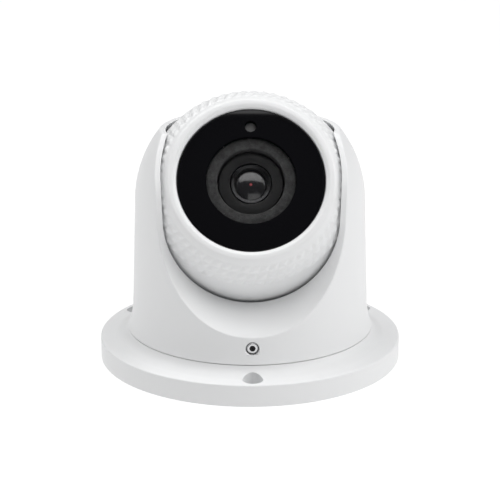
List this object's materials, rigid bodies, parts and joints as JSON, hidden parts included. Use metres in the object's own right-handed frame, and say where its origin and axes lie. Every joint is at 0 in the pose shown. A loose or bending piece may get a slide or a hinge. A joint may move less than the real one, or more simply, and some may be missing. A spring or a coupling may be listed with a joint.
{
  "type": "dome camera",
  "caption": "White turret dome camera: a ball with a dark window and lens, held in a cut dome shroud that turns on a round mounting plate with countersunk screw recesses.",
  "frame": {"origin": "centre of the mounting plate, on the mounting face that meets the ceiling or wall", "axes": "+Z away from the mounting face; at rest the camera looks towards -Y and 32 degrees towards +Z; +X is on the right of somebody who faces the camera's window"},
  "size_m": [0.126, 0.126, 0.112],
  "materials": {
    "white_shell": "satin",
    "white_plate": "satin",
    "black_rubber": "matte",
    "bright_steel": "polished",
    "pale_plastic": "satin",
    "cast_aluminium": "as cast",
    "dark_window": "glossy",
    "black_plastic": "satin",
    "lens_glass": "polished",
    "grey_foam": "matte",
    "green_board": "satin",
    "clear_resin": "glossy",
    "copper_coil": "satin"
  },
  "bodies": {
    "base": {"mounting_base": "white_plate", "base_pad": "grey_foam", "cable_gland": "black_rubber", "snap_ring": "bright_steel"},
    "shroud": {"shroud": "white_shell", "ball_cup": "white_shell", "friction_ring": "black_rubber", "slip_washer": "pale_plastic"},
    "shoe": {"brake_shoe": "pale_plastic"},
    "screw": {"lock_screw": "bright_steel"},
    "swivel": {"swivel_ring": "pale_plastic"},
    "head": {"rear_shell": "white_shell", "front_shell": "white_shell", "shell_seal": "black_rubber", "shell_grommet": "black_rubber", "front_window": "dark_window", "window_gasket": "black_rubber", "lens_barrel": "black_plastic", "lens_trim_ring": "black_plastic", "lens_front_element": "lens_glass", "lens_rear_element": "lens_glass", "light_shield": "grey_foam", "lens_holder": "black_plastic", "led_board": "green_board", "infrared_lamp_left": "clear_resin", "infrared_lamp_right": "clear_resin", "light_sensor": "clear_resin", "carrier_frame": "cast_aluminium", "frame_screw_1": "bright_steel", "frame_screw_2": "bright_steel", "frame_screw_3": "bright_steel", "lamp_post_1": "bright_steel", "lamp_post_2": "bright_steel", "lamp_post_3": "bright_steel", "board_post_1": "bright_steel", "board_post_2": "bright_steel", "board_post_3": "bright_steel", "sensor_board": "green_board", "image_sensor": "black_plastic", "main_board": "green_board", "processor": "black_plastic", "lead_socket": "pale_plastic", "board_link": "pale_plastic", "filter_housing": "black_plastic", "filter_coil": "copper_coil"},
    "filter": {"filter_frame": "black_plastic", "filter_glass": "lens_glass"},
    "lever": {"filter_lever": "pale_plastic"}
  },
  "joints": [
    {"name": "pan", "type": "hinge", "parent": "base", "child": "shroud", "pos_m": [0, 0, 0], "axis": [0, 0, 1], "range_deg": [-180, 180]},
    {"name": "lock_push", "type": "slide", "parent": "shroud", "child": "shoe", "axis": [0, 1, 0], "range_m": [0, 0.0008]},
    {"name": "lock_turn", "type": "hinge", "parent": "shoe", "child": "screw", "pos_m": [0, -0.048, 0.0192], "axis": [0, 1, 0], "range_deg": [0, 411.43]},
    {"name": "tilt", "type": "hinge", "parent": "shroud", "child": "swivel", "pos_m": [0, 0, 0.067], "axis": [-1, 0, 0], "range_deg": [-32, 58]},
    {"name": "roll", "type": "hinge", "parent": "swivel", "child": "head", "pos_m": [0, 0, 0.067], "axis": [0, -0.848, 0.5299], "range_deg": [-180, 180]},
    {"name": "lever_turn", "type": "hinge", "parent": "head", "child": "lever", "pos_m": [0, 0.00866, 0.08087], "axis": [0, -0.848, 0.5299], "range_deg": [0, 42.64]},
    {"name": "filter_slide", "type": "slide", "parent": "head", "child": "filter", "axis": [1, 0, 0], "range_m": [0, 0.008]}
  ],
  "couplings": [
    {"joint": "lock_turn", "follows": "lock_push", "rad_per_m": 8976},
    {"joint": "lever_turn", "follows": "filter_slide", "rad_per_m": 93.02}
  ]
}
